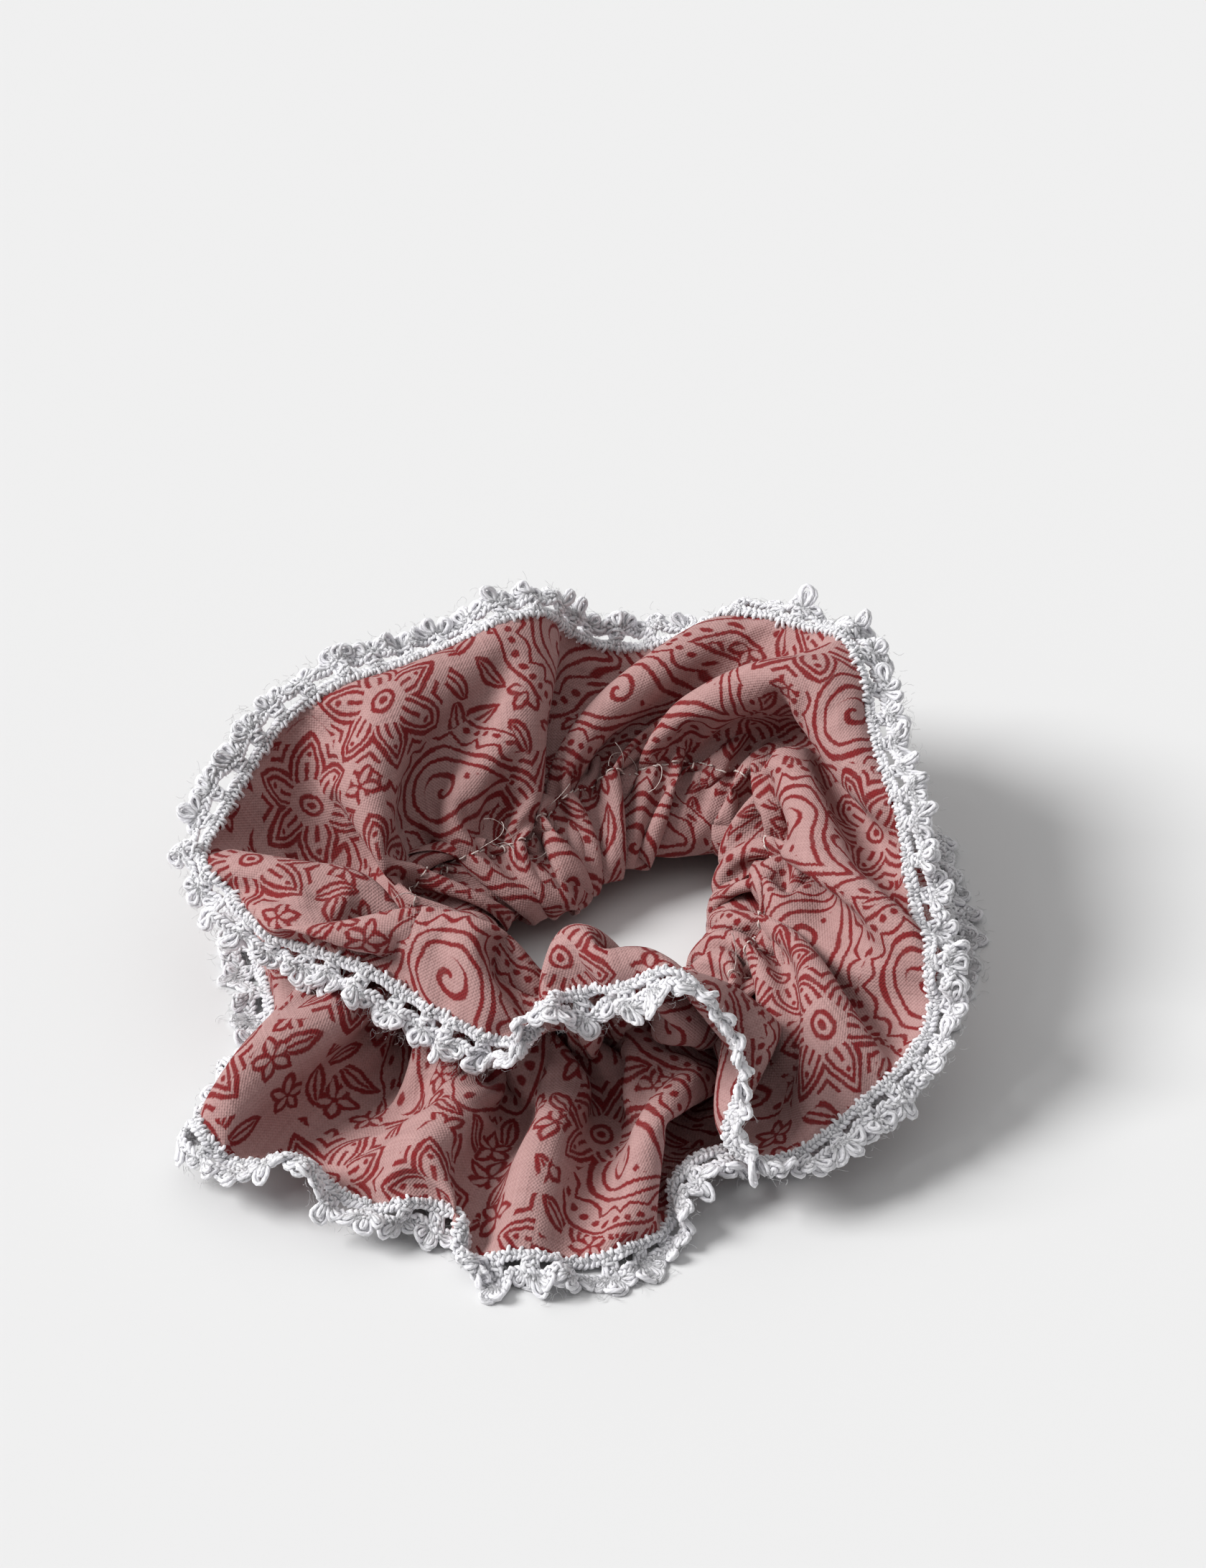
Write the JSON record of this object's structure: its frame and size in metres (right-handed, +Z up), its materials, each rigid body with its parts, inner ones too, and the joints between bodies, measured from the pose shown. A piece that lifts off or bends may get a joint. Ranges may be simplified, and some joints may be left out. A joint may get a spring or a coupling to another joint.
{
  "type": "scrunchie",
  "caption": "Gathered cloth hair scrunchie with an elastic core, two ruffled tiers and crocheted lace edging round an open centre.",
  "frame": {"origin": "centre of the overall footprint, on the surface it lies on", "axes": "+Z up along the axis of the centre hole; +X is the direction the right side is pulled to stretch the loop; +Y is the back, where the upper ruffle stands highest"},
  "size_m": [0.149, 0.153, 0.0505],
  "materials": {
    "printed_cloth": "matte printed cotton voile",
    "lace": "matte cotton yarn",
    "elastic": "matte braided cover",
    "thread": "matte cotton thread"
  },
  "bodies": {
    "held_side": {"casing_left": "printed_cloth", "elastic_left": "elastic", "casing_stitching_left": "thread", "upper_ruffle_left": "printed_cloth", "upper_lace_left": "lace", "lower_ruffle_left": "printed_cloth", "lower_lace_left": "lace", "elastic_overlap": "elastic", "elastic_bar_tack": "thread", "upper_side_seam": "printed_cloth", "lower_side_seam": "printed_cloth"},
    "pulled_side": {"casing_right": "printed_cloth", "elastic_right": "elastic", "casing_stitching_right": "thread", "upper_ruffle_right": "printed_cloth", "upper_lace_right": "lace", "lower_ruffle_right": "printed_cloth", "lower_lace_right": "lace"}
  },
  "joints": [
    {"name": "stretch", "type": "slide", "parent": "held_side", "child": "pulled_side", "axis": [1, 0, 0], "range_m": [0, 0.06], "stiffness_N_per_m": 130}
  ]
}
